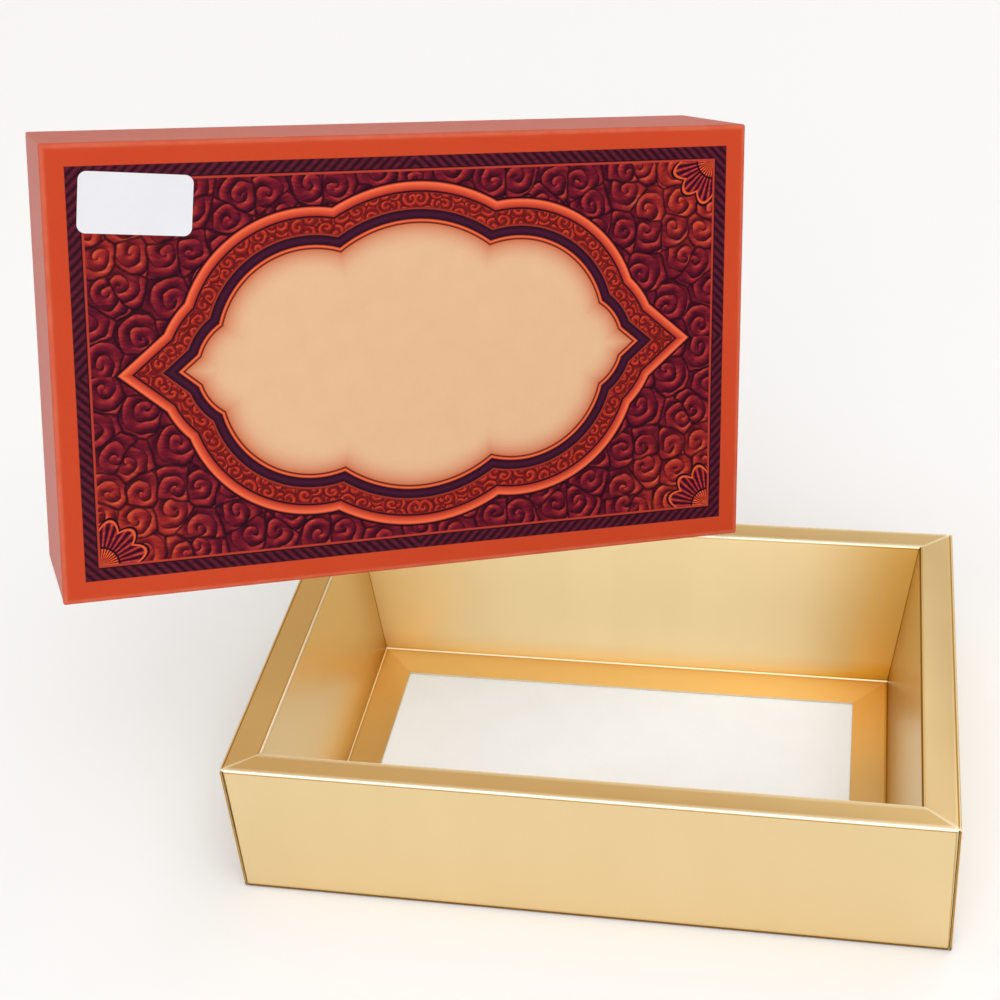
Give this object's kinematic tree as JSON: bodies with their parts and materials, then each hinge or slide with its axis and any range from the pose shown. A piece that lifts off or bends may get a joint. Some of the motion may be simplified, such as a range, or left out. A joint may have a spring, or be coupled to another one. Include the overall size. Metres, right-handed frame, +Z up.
{
  "type": "chocolate box",
  "caption": "Rectangular gift box for chocolates: a hollow-walled tray of folded gold board and a separate telescoping red lid, taken off and leaning on the tray's back rim.",
  "frame": {"origin": "middle of the tray's underside, on the surface that it stands on", "axes": "+X along the tray's length, +Y from its front to its back, +Z up; the lid leans on the back rim, over the left end"},
  "size_m": [0.2652, 0.194, 0.207],
  "materials": {
    "gold_board": "metallised gold, satin",
    "white_board": "uncoated white",
    "red_board": "printed orange-red, satin",
    "white_paper": "smooth white"
  },
  "bodies": {
    "tray": {"tray_base": "white_board", "tray_outer_wall_front": "gold_board", "tray_outer_wall_back": "gold_board", "tray_outer_wall_left": "gold_board", "tray_outer_wall_right": "gold_board", "tray_rim_front": "gold_board", "tray_rim_back": "gold_board", "tray_rim_left": "gold_board", "tray_rim_right": "gold_board", "tray_inner_wall_front": "gold_board", "tray_inner_wall_back": "gold_board", "tray_inner_wall_left": "gold_board", "tray_inner_wall_right": "gold_board", "tray_flange_front": "gold_board", "tray_flange_back": "gold_board", "tray_flange_left": "gold_board", "tray_flange_right": "gold_board", "tray_corner_tab_front_left": "gold_board", "tray_corner_tab_back_left": "gold_board", "tray_corner_tab_front_right": "gold_board", "tray_corner_tab_back_right": "gold_board"},
    "lid": {"lid_face": "red_board", "lid_outer_wall_lower": "red_board", "lid_outer_wall_upper": "red_board", "lid_outer_wall_left": "red_board", "lid_outer_wall_right": "red_board", "lid_turned_in_wall_lower": "red_board", "lid_turned_in_wall_upper": "red_board", "lid_turned_in_wall_left": "red_board", "lid_turned_in_wall_right": "red_board", "lid_corner_tab_lower_left": "red_board", "lid_corner_tab_lower_right": "red_board", "lid_corner_tab_upper_left": "red_board", "lid_corner_tab_upper_right": "red_board", "lid_label": "white_paper"}
  },
  "joints": [
    {"name": "lid_lift", "type": "slide", "parent": "tray", "child": "lid", "axis": [0, 0, 1], "range_m": [0, 0.15]}
  ]
}
